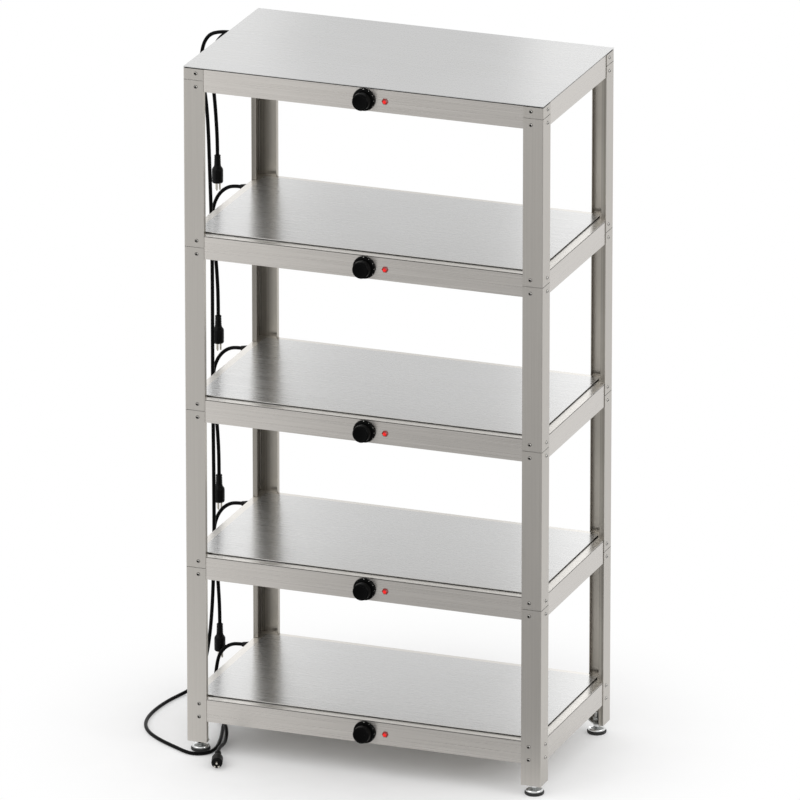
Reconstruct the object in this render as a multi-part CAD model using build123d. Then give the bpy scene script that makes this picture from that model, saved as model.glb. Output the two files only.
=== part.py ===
from build123d import *
import math
import os

# Heated shelf: five heated tiers carried by four stacked corner posts, in millimetres, +Z up.
# The origin is on the floor, under the centre of the rack without its free cords.

# Facets round the turned pieces
knob_sides = 24
foot_sides = 16
small_sides = 12
screw_sides = 6
cord_sides = 6

# Frame of folded stainless sheet
width = 900.0
depth = 490.0
post_leg = 50.0
post_lip = 12.0
post_wall = 1.5
post_bend = 1.0
seam_gap = 1.2
lip_clearance = 1.0

# Tiers, numbered from the top, with their distances given from the bottom tier up
leg_clearance = 54.0
tier_pitches = (362.0, 396.0, 408.0, 414.0)
apron_height = 55.0
apron_wall = 1.2
apron_bend = 2.0
apron_flange = 14.0
rim_seal_height = 1.5
rim_wall = 1.2
deck_seal_height = 2.0
deck_wall = 1.5
ledge = 22.0
seal_width = 8.0
seal_recess = 1.2
top_seal_height = 2.5

# Heating and wiring inside each tier
heater_thickness = 3.0
heater_margin = 26.0
insulation_front_space = 75.0
insulation_left_space = 85.0
insulation_margin = 20.0
cover_wall = 1.0
cover_clearance = 0.5
thermostat_size = (44.0, 32.0, 38.0)
terminal_size = (26.0, 60.0, 20.0)
terminal_gap = 2.5

# Control knob and its shaft
knob_from_left = 454.0
knob_skirt_radius = 27.5
knob_skirt_height = 7.0
knob_grip_radius = 21.5
knob_grip_taper = 1.0
knob_height = 29.0
knob_gap = 1.0
knob_edge = 2.0
shaft_radius = 3.0
shaft_flat = 1.5
shaft_depth_in_knob = 16.0
shaft_depth_in_thermostat = 20.0
running_clearance = 0.05
bush_radius = 4.8
bush_clearance = 0.2

# Pilot lamp
lamp_offset = 52.0
lamp_radius = 7.0
lamp_dome_height = 6.0
lamp_edge = 1.6
lamp_body_radius = 5.8
lamp_body_depth = 18.0
lamp_clearance = 0.1

# Screws at the post seams
screw_head_radius = 3.9
screw_head_height = 2.2
screw_top_radius = 2.9
screw_from_corner = 31.0
screw_from_seam = 16.5

# Levelling feet
foot_height = 28.0
foot_inset = 25.0
pad_radius = 23.5
pad_height = 8.0
pad_edge = 2.0
pad_gap = 0.2
disc_radius = 21.5
disc_height = 9.0
disc_crown = 8.0
collar_radius = 8.0
stem_radius = 5.0
stem_length = 26.0
bracket_wall = 3.0
bracket_nut_radius = 9.0
bracket_nut_height = 10.0

# Cord glands on the left side, given from the back corner
shelf_gland_ahead = 65.0
supply_gland_ahead = 95.0
supply_gland_rise = -5.0
shelf_gland_rises = (-12.0, 14.5, 14.5, 14.5, 14.5)
gland_hole_radius = 8.0
gland_clearance = 0.1
gland_nut_radius = 11.0
gland_nut_height = 5.0
gland_cone_height = 18.5
gland_inner_depth = 10.0
gland_tip_radius = 6.0
gland_root_radius = 9.0

# Cords and plugs
cord_diameter = 9.0
cord_on_floor = 5.0
plug_relief_radius = 7.5
plug_neck_radius = 8.5
plug_neck_length = 28.0
plug_shoulder_length = 8.0
plug_body_radius = 13.6
plug_body_length = 33.0
plug_edge = 3.0
plug_pin_radius = 2.4
plug_pin_length = 19.0
plug_pin_spacing = 5.5
plug_on_floor = 13.9

# Worked out from the sizes above
gland_reach = gland_nut_height + gland_cone_height - post_wall
left = gland_reach - (gland_reach + width + screw_head_height) / 2
right = left + width
centre_x = (left + right) / 2
knob_reach = knob_gap + knob_height - post_wall
front = knob_reach - (knob_reach + depth + screw_head_height) / 2
back = front + depth
centre_y = (front + back) / 2
leg_bottom = foot_height
apron_bottoms = [leg_bottom + leg_clearance]
for pitch in tier_pitches:
    apron_bottoms.insert(0, apron_bottoms[0] + pitch)
tiers = range(1, len(apron_bottoms) + 1)
apron_mid = apron_height / 2
rim_top = apron_height + rim_seal_height + rim_wall
apron_left = left + post_wall
apron_front = front + post_wall
apron_back = back - post_wall


def bottom_of(tier):
    """Height of a tier's apron above the floor."""
    return apron_bottoms[tier - 1]


def deck_under(tier):
    """Height of the underside of a tier's heated plate."""
    if tier == 1:
        return bottom_of(tier) + apron_height + top_seal_height
    return bottom_of(tier) + rim_top + deck_seal_height


def block(low, high):
    """A box between two corners."""
    size = [b - a for a, b in zip(low, high)]
    centre = [(a + b) / 2 for a, b in zip(low, high)]
    return Pos(*centre) * Box(*size)


def slab(inset, low, high):
    """A plate over the plan of the rack, drawn in by the same distance on its four sides."""
    return block((left + inset, front + inset, low), (right - inset, back - inset, high))


def ring(inset, breadth, low, high):
    """A flat frame round the plan of the rack."""
    return slab(inset, low, high) - slab(inset + breadth, low - 1, high + 1)


def four_corners(shape):
    """A front left shape and its copies at the front right, back left and back right corners."""
    midway = Plane(origin=(centre_x, centre_y, 0))
    to_right = mirror(shape, about=Plane(origin=midway.origin, z_dir=(1, 0, 0)))
    across = Plane(origin=midway.origin, z_dir=(0, 1, 0))
    return [shape, to_right, mirror(shape, about=across), mirror(to_right, about=across)]


def turned(sides, *stations):
    """A turned piece round +Z through radii at rising heights, its flat facets meeting on those radii."""
    steps = []
    for (radius, low), (next_radius, high) in zip(stations, stations[1:]):
        narrowing = abs(radius - next_radius) * math.cos(math.pi / sides)
        taper = math.degrees(math.atan2(narrowing, high - low))
        step = extrude(RegularPolygon(max(radius, next_radius), sides), high - low, taper=taper)
        if next_radius > radius:
            steps.append(Pos(0, 0, high) * mirror(step, about=Plane.XY))
        else:
            steps.append(Pos(0, 0, low) * step)
    return steps[0].fuse(*steps[1:]) if len(steps) > 1 else steps[0]


def bore(radius, low, high):
    """What a running fit takes out, its facets clear of a round shaft of this radius."""
    corner = radius / math.cos(math.pi / small_sides)
    return turned(small_sides, (corner, low), (corner, high))


def save(name, *solids):
    """Writes one sub-part, a single solid or a group of separate ones."""
    shape = solids[0] if len(solids) == 1 else Compound(children=list(solids))
    export_step(shape, os.path.join("parts", name + ".step"))


def post_profile():
    """Folded angle with lips, its outer corner at the front left corner of the rack."""
    leg, lip, wall = post_leg, post_lip, post_wall
    outline = Polyline(
        (0, 0), (leg, 0), (leg, lip), (leg - wall, lip), (leg - wall, wall),
        (wall, wall), (wall, leg - wall), (lip, leg - wall), (lip, leg), (0, leg),
        close=True,
    )
    face = make_face(outline)
    face = fillet(face.vertices().sort_by_distance((0, 0))[0], post_bend + wall)
    return fillet(face.vertices().sort_by_distance((wall, wall))[0], post_bend)


def post_section(low, high, laps):
    """One length of the front left post. Its lips are cut away where it laps a tier."""
    section = Pos(left, front, low) * extrude(post_profile(), high - low)
    x0, y0 = left, front
    for lap_low, lap_high in laps:
        side_lip = block(
            (x0 + post_wall, y0 + post_leg - 2 * post_wall, lap_low),
            (x0 + post_leg, y0 + post_leg, lap_high),
        )
        front_lip = block(
            (x0 + post_leg - 2 * post_wall, y0 + post_wall, lap_low),
            (x0 + post_leg, y0 + post_leg, lap_high),
        )
        section = section - side_lip - front_lip
    return section.solid()


def lap_of(tier):
    """The heights between which a post's lips are cut away for a tier."""
    return bottom_of(tier) - lip_clearance, bottom_of(tier) + rim_top + lip_clearance


def post_sections():
    """The front left post from its short top section down, with a seam at each upper apron's middle."""
    seams = [bottom_of(tier) + apron_mid for tier in tiers[:-1]]
    tops = [bottom_of(1) + apron_height] + [seam - seam_gap / 2 for seam in seams]
    bottoms = [seam + seam_gap / 2 for seam in seams] + [leg_bottom]
    laps = [lap_of(tier) for tier in tiers]
    return [post_section(low, high, laps) for low, high in zip(bottoms, tops)]


def screw_head():
    """A domed screw head that stands on the plane z = 0."""
    return turned(screw_sides, (screw_head_radius, 0), (screw_top_radius, screw_head_height))


def screws_of_corner():
    """The screw heads on both faces of the front left post."""
    heights = []
    for tier in tiers:
        seam = bottom_of(tier) + apron_mid
        heights += [seam - screw_from_seam, seam + screw_from_seam]
    heads = []
    for height in heights:
        on_front = Plane(origin=(left + screw_from_corner, front, height), z_dir=(0, -1, 0))
        on_side = Plane(origin=(left, front + screw_from_corner, height), z_dir=(-1, 0, 0))
        heads += [on_front * screw_head(), on_side * screw_head()]
    return heads


def wall_hole(radius):
    """What a hole takes out of an apron's wall."""
    return turned(small_sides, (radius, -2 * apron_wall), (radius, apron_wall))


def apron(tier):
    """The folded box of a tier, with flanges turned in above and below and holes for its fittings."""
    low = bottom_of(tier)
    high = low + apron_height
    outer = slab(post_wall, low, high)
    outer = fillet(outer.edges().filter_by(Axis.Z), apron_bend)
    shell = outer - slab(post_wall + apron_wall, low + apron_wall, high - apron_wall)
    shell = shell - slab(post_wall + apron_wall + apron_flange, low - 1, high + 1)
    at_knob = knob_plane(tier)
    holes = [at_knob * wall_hole(bush_radius + bush_clearance)]
    holes.append(at_knob * Pos(lamp_offset, 0, 0) * wall_hole(lamp_body_radius + lamp_clearance))
    for place in gland_places(tier):
        holes.append(place * wall_hole(gland_hole_radius))
    for hole in holes:
        shell = shell - hole
    return shell.solid()


def bottom_cover(tier):
    """The flat cover that lies inside on the lower flange and closes the tier from below."""
    low = bottom_of(tier) + apron_wall
    return slab(post_wall + apron_wall + cover_clearance, low, low + cover_wall)


def top_seal(tier):
    """The dark strip between a tier's apron and the sheet above it."""
    low = bottom_of(tier) + apron_height
    height = top_seal_height if tier == 1 else rim_seal_height
    return ring(post_wall + seal_recess, seal_width, low, low + height)


def rim(tier):
    """The flat ledge round the heated plate of a lower tier."""
    high = bottom_of(tier) + rim_top
    sheet = slab(post_wall, high - rim_wall, high)
    sheet = fillet(sheet.edges().filter_by(Axis.Z), apron_bend)
    return sheet - slab(post_wall + ledge + seal_recess + seal_width, high - 2 * rim_wall, high + 1)


def deck_seal(tier):
    """The dark strip between the ledge and the heated plate of a lower tier."""
    low = bottom_of(tier) + rim_top
    return ring(post_wall + ledge + seal_recess, seal_width, low, low + deck_seal_height)


def deck(tier):
    """The heated plate. On the top tier it covers the aprons and the posts."""
    low = deck_under(tier)
    inset = 0 if tier == 1 else post_wall + ledge
    return slab(inset, low, low + deck_wall)


def heater(tier):
    """The heating mat stuck under the plate."""
    high = deck_under(tier)
    return slab(post_wall + ledge + heater_margin, high - heater_thickness, high)


def insulation(tier):
    """The mineral wool slab between the bottom cover and the heating mat."""
    low = bottom_of(tier) + apron_wall + cover_wall
    high = deck_under(tier) - heater_thickness
    edge = post_wall + apron_wall + apron_flange + insulation_margin
    corner = (left + insulation_left_space, front + insulation_front_space, low)
    return block(corner, (right - edge, back - edge, high))


def thermostat(tier):
    """The capillary thermostat behind the knob, with the bush that its shaft turns in."""
    x, y, z = thermostat_size
    body = Pos(0, 0, -apron_wall - y / 2) * Box(x, z, y)
    bush = turned(small_sides, (bush_radius, -apron_wall), (bush_radius, 0))
    depth_of_bore = apron_wall + shaft_depth_in_thermostat
    hole = bore(shaft_radius + running_clearance, -depth_of_bore, apron_wall)
    return (knob_plane(tier) * (body + bush - hole)).solid()


def knob_plane(tier):
    """The apron's front face at the knob, with X to the right and its normal to the front."""
    centre = (left + knob_from_left, apron_front, bottom_of(tier) + apron_mid)
    return Plane(origin=centre, x_dir=(1, 0, 0), z_dir=(0, -1, 0))


def knob(tier):
    """Moulded control knob: a bevelled skirt and a tapered grip, bored from behind for the shaft."""
    skirt, grip = knob_skirt_radius, knob_grip_radius
    step = knob_gap + knob_skirt_height
    tip = knob_gap + knob_height
    tip_radius = grip - knob_grip_taper
    body = turned(knob_sides, (skirt, knob_gap), (skirt, step - knob_edge), (skirt - knob_edge, step))
    body += turned(
        knob_sides, (grip, step), (tip_radius, tip - knob_edge), (tip_radius - knob_edge, tip)
    )
    hole_top = knob_gap + shaft_depth_in_knob + running_clearance
    hole = bore(shaft_radius + running_clearance, 0, hole_top)
    return (knob_plane(tier) * (body - hole)).solid()


def knob_shaft(tier):
    """The thermostat's spindle, with a flat where the knob grips it."""
    low = -apron_wall - shaft_depth_in_thermostat + running_clearance
    high = knob_gap + shaft_depth_in_knob
    rod = turned(small_sides, (shaft_radius, low), (shaft_radius, high))
    flat = block(
        (shaft_radius - shaft_flat, -shaft_radius, knob_gap),
        (2 * shaft_radius, shaft_radius, high + 1),
    )
    return (knob_plane(tier) * (rod - flat)).solid()


def pilot_lamp(tier):
    """The lens of the pilot lamp, a low dome in front of a round body."""
    body = turned(small_sides, (lamp_body_radius, -lamp_body_depth), (lamp_body_radius, 0))
    shoulder, crown = lamp_dome_height / 3, 0.8 * lamp_dome_height
    lens = turned(
        small_sides, (lamp_radius, 0), (lamp_radius, shoulder), (lamp_radius - lamp_edge, crown),
        (lamp_radius / 3, lamp_dome_height),
    )
    return (knob_plane(tier) * Pos(lamp_offset, 0, 0) * (body + lens)).solid()


def gland_places(tier):
    """Planes on the left face of a tier's apron, one for each cord, with the normal outwards."""
    places = [(shelf_gland_ahead, shelf_gland_rises[tier - 1])]
    if tier == 1:
        places.append((supply_gland_ahead, supply_gland_rise))
    planes = []
    for ahead, rise in places:
        centre = (apron_left, back - ahead, bottom_of(tier) + apron_mid + rise)
        planes.append(Plane(origin=centre, z_dir=(-1, 0, 0)))
    return planes


def gland():
    """Cord gland: threaded end inside, hexagon outside, and a tapered relief."""
    inner_radius = gland_hole_radius - gland_clearance
    tip = gland_nut_height + gland_cone_height
    thread = turned(small_sides, (inner_radius, -gland_inner_depth), (inner_radius, 0))
    nut = turned(6, (gland_nut_radius, 0), (gland_nut_radius, gland_nut_height))
    cone = turned(small_sides, (gland_root_radius, gland_nut_height), (gland_tip_radius, tip))
    return (thread + nut + cone).solid()


def terminal_block(tier):
    """The terminal block that stands on the bottom cover beside the glands."""
    x, y, z = terminal_size
    left = apron_left + apron_wall + gland_inner_depth + terminal_gap
    low = bottom_of(tier) + apron_wall + cover_wall
    centre = back - (shelf_gland_ahead + supply_gland_ahead) / 2
    return block((left, centre - y / 2, low), (left + x, centre + y / 2, low + z))


def foot_pad():
    """The rubber base of a levelling foot."""
    edge = pad_radius - pad_edge
    return turned(
        foot_sides, (edge, 0), (pad_radius, pad_edge), (pad_radius, pad_height - pad_edge / 2),
        (edge, pad_height),
    )


def foot_stem():
    """The plated disc, collar and threaded rod of a levelling foot, as one turned piece."""
    low = pad_height + pad_gap
    shoulder = low + disc_height
    disc = turned(
        foot_sides, (disc_radius, low), (disc_radius, low + disc_height / 3),
        (disc_radius - disc_crown, low + 0.8 * disc_height), (collar_radius, shoulder),
    )
    collar = turned(small_sides, (collar_radius, shoulder), (collar_radius, leg_bottom))
    rod = turned(small_sides, (stem_radius, leg_bottom), (stem_radius, leg_bottom + stem_length))
    return (disc + collar + rod).solid()


def foot_bracket():
    """The plate and nut inside the bottom of the front left leg."""
    inner = post_leg - post_wall
    plate = block(
        (left + post_wall, front + post_wall, leg_bottom),
        (left + inner, front + inner, leg_bottom + bracket_wall),
    )
    corner = plate.edges().filter_by(Axis.Z).sort_by_distance((left, front, leg_bottom))[0]
    plate = fillet(corner, 2 * post_bend)
    centre = Pos(left + foot_inset, front + foot_inset, leg_bottom)
    nut_top = bracket_wall + bracket_nut_height
    nut = turned(6, (bracket_nut_radius, bracket_wall), (bracket_nut_radius, nut_top))
    hole = bore(stem_radius + running_clearance, -bracket_wall, nut_top + bracket_wall)
    return (plate + centre * nut - centre * hole).solid()


def plug_body():
    """A moulded plug along +Z, its cord entry at the origin."""
    neck = plug_neck_length
    shoulder = neck + plug_shoulder_length
    face = shoulder + plug_body_length
    return turned(
        foot_sides, (plug_relief_radius, 0), (plug_neck_radius, neck),
        (plug_body_radius, shoulder), (plug_body_radius, face - plug_edge),
        (plug_body_radius - plug_edge / 2, face),
    )


def plug_pins():
    """The three round pins that stand on the plug's face."""
    face = plug_neck_length + plug_shoulder_length + plug_body_length
    pins = []
    for turn in (90, 210, 330):
        x = plug_pin_spacing * math.cos(math.radians(turn))
        y = plug_pin_spacing * math.sin(math.radians(turn))
        pin = turned(cord_sides, (plug_pin_radius, face), (plug_pin_radius, face + plug_pin_length))
        pins.append(Pos(x, y, 0) * pin)
    return pins


def plug_place(end, heading):
    """The plane at a cord's end. Its Y, on which one pin stands, faces the front or upwards."""
    hanging = abs(heading.Z) > abs(heading.X) + abs(heading.Y)
    side = Vector(1, 0, 0) if hanging else Vector(0, 0, 1).cross(heading)
    return Plane(origin=end, x_dir=side, z_dir=heading)


def from_corner(out, ahead, up):
    """A point by its distance out from the left side, ahead of the back and above the floor."""
    return Vector(left - out, back - ahead, up)


def section_at(line):
    """A cord's section across the level start of its line, with a round cord's area and a flat below."""
    share = math.sqrt(2 * math.pi / (cord_sides * math.sin(2 * math.pi / cord_sides)))
    heading = line % 0
    across = heading.cross(Vector(0, 0, 1))
    section = RegularPolygon(cord_diameter / 2 * share, cord_sides, rotation=180 / cord_sides - 90)
    return Plane(origin=line @ 0, x_dir=across, z_dir=heading) * section


def cord(name, points):
    """A cord along hand-chosen points, each corner with the largest arc that its two runs allow."""
    radii = []
    for before, here, after in zip(points, points[1:], points[2:]):
        first, second = here - before, after - here
        turn = math.radians(first.get_angle(second))
        radii.append(0.45 * min(first.length, second.length) / math.tan(turn / 2))
    line = FilletPolyline(*points, radius=radii)
    tube = sweep(section_at(line), path=line)
    expected = math.pi * cord_diameter**2 / 4 * line.length
    ratio = tube.volume / expected
    print(name, "length", round(line.length), "tightest", round(min(radii)), "fill", round(ratio, 4))
    return tube.solid()


# Routes: out from the left side, ahead of the back, and height, chosen by hand
# A shelf cord's heights are given from its gland
shelf_cord_route = [
    (gland_reach, 65, 0), (40, 65, 0), (58, 65, -6.5), (74, 65.5, -20), (86, 65.5, -39.5),
    (93.5, 66, -65), (95.5, 66, -95), (93, 64, -129), (90.5, 59, -172), (89.3, 52, -226),
    (89, 45, -287),
]
shelf_plug_drops = (321.5, 339.5, 337.0, 324.0)
bottom_cord_route = [
    (gland_reach, 65, 124), (40, 65, 124), (58, 65, 117.5), (74, 65.5, 104), (84.5, 66, 84.5),
    (88.5, 69, 59), (88, 78, 34), (83, 95, 15), (75, 119, 6), (66, 146, 5), (54, 175, 5), (40, 203, 5),
    (25, 229, 5), (12, 257, 5.9), (-3.5, 287, 12), (-19, 312, 21.5), (-37, 338, 22.5),
    (-53, 365, 17), (-63, 394, 9.5), (-70, 424, 7), (-73, 452, 10.5), (-77, 481, plug_on_floor),
    (-86.5, 508.6, plug_on_floor),
]
supply_route = [
    (gland_reach, 95, 1684.5), (42, 95, 1684.5), (63, 95, 1680.5), (82, 94.5, 1671), (95, 94.5, 1655),
    (102.5, 94, 1635), (105.5, 94, 1610), (104.5, 94, 1579), (100.5, 94, 1540), (96, 94, 1490),
    (92.5, 94, 1425), (90, 94.5, 1345), (87, 95, 1250), (84.5, 95, 1148),
    (84, 95, 1040), (84.5, 94.5, 910), (85, 94, 778),
    (84, 94, 646), (83, 94.5, 516), (83, 95, 392), (85.5, 95.5, 284), (90, 96, 198),
    (97, 97, 130), (107, 99, 76), (121, 104, 34), (138, 117, 10), (152, 144, 5),
    (163, 185, 5), (170, 233, 5), (172, 283, 5), (167, 334, 5), (152, 379, 5),
    (126, 417, 5), (92, 447, 5), (56, 471, 5), (24, 490, 5), (2, 503.5, 5),
    (-18, 511, 5), (-38.5, 507.5, 5), (-54.5, 494, 5), (-61.5, 474, 5), (-60, 442, 5),
    (-51, 402, 5), (-37, 354, 5), (-19, 300, 5), (-9, 243, 5), (-15, 187, 5),
    (-31, 133, 5), (-49, 80, 5), (-61, 28, 5), (-64.3, -24, 5), (-64.3, -70, 5),
]

# Put away coil of the supply cord, behind the rack
coil_centre_x = 120.3
coil_centre_ahead = -80.0
coil_pitch = 9.6
coil_layer = 9.6
coil_outer = 56.0
coil_turns = 2.5
coil_lead = 10.0
coil_tail = 45.0


def coil_point(turn):
    """A point of the coil and its heading, a given number of turns from its start at the left."""
    angle = math.pi - 2 * math.pi * turn
    reversal = coil_turns / 2
    radius = coil_outer - coil_pitch * (reversal - abs(turn - reversal))
    slope = 0 if turn == reversal else math.copysign(coil_pitch / (2 * math.pi), turn - reversal)
    climb = min(max((turn - reversal) * 2 + 0.5, 0), 1)
    up = cord_on_floor + coil_layer * climb * climb * (3 - 2 * climb)
    steep = coil_layer * 6 * climb * (1 - climb) * 2 / (2 * math.pi)
    centre = Vector(left + coil_centre_x, back - coil_centre_ahead, up)
    outward = Vector(math.cos(angle), math.sin(angle), 0)
    forward = Vector(math.sin(angle), -math.cos(angle), 0)
    heading = forward * radius + outward * slope + Vector(0, 0, steep)
    return centre + outward * radius, heading.normalized()


def biarc(start, start_heading, end, end_heading):
    """Two arcs that leave one point and reach the next in the given headings."""
    chord = end - start
    both = start_heading + end_heading
    a = 2 * (1 - start_heading.dot(end_heading))
    b = 2 * chord.dot(both)
    reach = (-b + math.sqrt(b * b + 4 * a * chord.dot(chord))) / (2 * a)
    joint = (start + start_heading * reach + end - end_heading * reach) * 0.5
    first = TangentArc(start, joint, tangent=start_heading)
    second = TangentArc(joint, end, tangent=first % 1)
    return [first, second]


def supply_coil():
    """The put away length as one unbroken tube, with its least gap to itself printed."""
    steps = int(coil_turns * 4)
    places = [coil_point(i / 4) for i in range(steps + 1)]
    # The first and last quarters set out level and square to their straight ends
    lead_heading = Vector(0, 1, 0)
    places[0] = (places[0][0], lead_heading)
    tail_heading = Vector(0, -1, 0)
    places[-1] = (places[-1][0], tail_heading)
    pieces = [Line(places[0][0] - lead_heading * coil_lead, places[0][0])]
    for (start, out_heading), (end, in_heading) in zip(places, places[1:]):
        pieces += biarc(start, out_heading, end, in_heading)
    pieces.append(Line(places[-1][0], places[-1][0] + tail_heading * coil_tail))
    line = Wire(pieces)
    spacing = 3.0
    count = int(line.length / spacing)
    samples = [line @ (i / count) for i in range(count + 1)]
    skip = int(6 * cord_diameter / spacing)
    nearest = min(
        (a - b).length for i, a in enumerate(samples) for b in samples[i + skip:]
    )
    gap = nearest - cord_diameter
    print("supply_coil length", round(line.length), "least gap to itself", round(gap, 2))
    return sweep(section_at(line), path=line).solid(), line @ 1, tail_heading


os.makedirs("parts", exist_ok=True)

post_names = ("post_front_left", "post_front_right", "post_back_left", "post_back_right")
post_groups = zip(*[four_corners(section) for section in post_sections()])
for name, group in zip(post_names, post_groups):
    save(name, *group)
save("post_screws", *[head for one in screws_of_corner() for head in four_corners(one)])

for tier in tiers:
    save(f"apron_{tier}", apron(tier))
    save(f"deck_{tier}", deck(tier))
    if tier > 1:
        save(f"rim_{tier}", rim(tier))
    save(f"knob_{tier}", knob(tier))
    save(f"knob_shaft_{tier}", knob_shaft(tier))
save("seals", *[top_seal(tier) for tier in tiers], *[deck_seal(tier) for tier in tiers[1:]])
save("bottom_covers", *[bottom_cover(tier) for tier in tiers])
save("heating_mats", *[heater(tier) for tier in tiers])
save("insulation_slabs", *[insulation(tier) for tier in tiers])
save("thermostats", *[thermostat(tier) for tier in tiers])
save("pilot_lamps", *[pilot_lamp(tier) for tier in tiers])
save("terminal_blocks", *[terminal_block(tier) for tier in tiers])
save("cord_glands", *[place * gland() for tier in tiers for place in gland_places(tier)])

foot_names = ("front_left", "front_right", "back_left", "back_right")
foot_place = Pos(left + foot_inset, front + foot_inset, 0)
for name, pad, stem in zip(
    foot_names, four_corners(foot_place * foot_pad()), four_corners(foot_place * foot_stem())
):
    save("foot_pad_" + name, pad)
    save("foot_stem_" + name, stem)
save("foot_brackets", *four_corners(foot_bracket()))

routes = {}
for tier, drop in zip(tiers, shelf_plug_drops):
    height = bottom_of(tier) + apron_mid + shelf_gland_rises[tier - 1]
    route = [from_corner(out, ahead, height + up) for out, ahead, up in shelf_cord_route]
    routes[f"shelf_cord_{tier}"] = route + [route[-1] + Vector(0, 0, -drop - shelf_cord_route[-1][2])]
routes["shelf_cord_5"] = [from_corner(*point) for point in bottom_cord_route]
for name, route in routes.items():
    save(name, cord(name, route))
    place = plug_place(route[-1], route[-1] - route[-2])
    save(name.replace("cord", "plug"), *[place * piece for piece in [plug_body()] + plug_pins()])
save("supply_cord", cord("supply_cord", [from_corner(*point) for point in supply_route]))
coil, coil_end, coil_heading = supply_coil()
save("supply_coil", coil)
place = plug_place(coil_end, coil_heading)
save("supply_plug", *[place * piece for piece in [plug_body()] + plug_pins()])
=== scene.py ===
from math import atan2, cos, pi, radians, sin

import bmesh
import bpy
from bpy.props import FloatProperty, FloatVectorProperty, IntProperty, PointerProperty
from mathutils import Matrix, Vector


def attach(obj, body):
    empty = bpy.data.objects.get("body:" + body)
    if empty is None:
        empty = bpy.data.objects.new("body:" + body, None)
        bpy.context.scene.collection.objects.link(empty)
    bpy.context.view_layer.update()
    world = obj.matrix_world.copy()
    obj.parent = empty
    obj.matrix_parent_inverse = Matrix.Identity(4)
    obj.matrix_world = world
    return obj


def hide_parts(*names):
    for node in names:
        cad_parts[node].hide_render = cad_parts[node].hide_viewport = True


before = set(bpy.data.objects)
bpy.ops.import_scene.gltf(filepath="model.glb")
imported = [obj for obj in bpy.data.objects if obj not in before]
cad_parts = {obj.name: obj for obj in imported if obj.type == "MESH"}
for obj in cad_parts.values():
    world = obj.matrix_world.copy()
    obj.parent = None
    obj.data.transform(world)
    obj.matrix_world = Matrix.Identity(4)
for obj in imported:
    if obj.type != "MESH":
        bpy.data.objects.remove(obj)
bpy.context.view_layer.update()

bl_info = {
    "name": "Heated Shelf",
    "version": (1, 0, 0),
    "blender": (4, 5, 0),
    "location": "View3D > Sidebar > Heated Shelf",
    "description": "Builds the fittings, cords and finishes of a stainless heated shelf",
    "category": "Add Mesh",
}

MM = 0.001

# The rack's faces and tiers, in millimetres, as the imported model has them
LEFT, RIGHT, FRONT, BACK = -440.1, 459.9, -231.85, 258.15
TIER_BOTTOMS = (1662.0, 1248.0, 840.0, 444.0, 82.0)
APRON_MIDDLE = 27.5
SHEET_GAUGE = 1.5
POST_WIDTH = 50.0
APRON_FACE = FRONT + SHEET_GAUGE
KNOB_X = LEFT + 454
LAMP_X = KNOB_X + 52
SCREW_INSET = 31.0
SCREW_RISE = 16.5
GLAND_FACE = LEFT + SHEET_GAUGE
GLAND_AHEAD = 65.0
GLAND_RISES = (-12.0, 14.5, 14.5, 14.5, 14.5)
SUPPLY_AHEAD = 95.0
SUPPLY_RISE = -5.0
FOOT_INSET = 25.0
CORNERS = ("front_left", "front_right", "back_left", "back_right")

# How a fitting built along +Z is turned to face each way
FACING = {
    "front": Matrix.Rotation(radians(90), 4, "X"),
    "back": Matrix.Rotation(radians(-90), 4, "X"),
    "left": Matrix.Rotation(radians(-90), 4, "Y"),
    "right": Matrix.Rotation(radians(90), 4, "Y"),
    "up": Matrix.Identity(4),
}


def linear(code):
    """Turns an sRGB hex colour into Blender's linear values."""
    parts = [int(code[i:i + 2], 16) / 255 for i in (1, 3, 5)]
    return [v / 12.92 if v <= 0.04045 else ((v + 0.055) / 1.055) ** 2.4 for v in parts]


def colour(name, description, code):
    """A colour property with its default given as a hex code."""
    return FloatVectorProperty(
        name=name, description=description, subtype="COLOR", size=3, min=0, max=1, default=linear(code)
    )


def length(name, description, millimetres):
    """A length property with its default given in millimetres."""
    return FloatProperty(
        name=name, description=description, subtype="DISTANCE", unit="LENGTH", min=0,
        default=millimetres * MM,
    )


class HeatedShelfFinishes(bpy.types.PropertyGroup):
    """Colours of the rack's sheet, plastics and rubber."""

    post_light: colour("Post, light", "Bright lines of the posts", "#CBC7C1")
    post_dark: colour("Post, dark", "Dark lines of the posts", "#C3BFB9")
    apron_light: colour("Apron, light", "Bright lines of the aprons", "#CBC7C2")
    apron_dark: colour("Apron, dark", "Dark lines of the aprons", "#C3BFBA")
    ledge_light: colour("Ledge, light", "Bright lines of the ledges", "#D9D6D1")
    ledge_dark: colour("Ledge, dark", "Dark lines of the ledges", "#D1CEC9")
    plate_light: colour("Plate, light", "Bright lines of the heated plates", "#CACACA")
    plate_dark: colour("Plate, dark", "Dark lines of the heated plates", "#C1C1C0")
    knob: colour("Knob", "Phenolic moulding of the knobs", "#040404")
    marks: colour("Knob marks", "Printed ring of marks on the knobs", "#D8D6D0")
    lens: colour("Lamp lens", "Red lens of the pilot lamps", "#8E0806")
    cable: colour("Cord", "PVC sheath of the cords", "#040404")
    plug: colour("Plug", "PVC moulding of the plugs", "#040404")


class HeatedShelfSizes(bpy.types.PropertyGroup):
    """Sizes of the small forms that only the visual model has."""

    mark_length: length("Mark length", "Length of a mark on a knob's ring", 2.0)
    mark_width: length("Mark width", "Width of a mark on a knob's ring", 0.5)
    recess_width: length("Screw recess", "Width across a screw head's socket", 5.0)
    thread_pitch: length("Thread pitch", "Pitch of the levelling feet's threads", 1.5)
    plug_flutes: IntProperty(
        name="Plug flutes", description="Grip flutes round a plug's body", default=16, min=4, max=40
    )
    lens_facets: IntProperty(
        name="Lens facets", description="Facets round a pilot lamp's lens", default=6, min=5, max=24
    )


def finishes():
    return bpy.context.scene.heated_shelf_finishes


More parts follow.
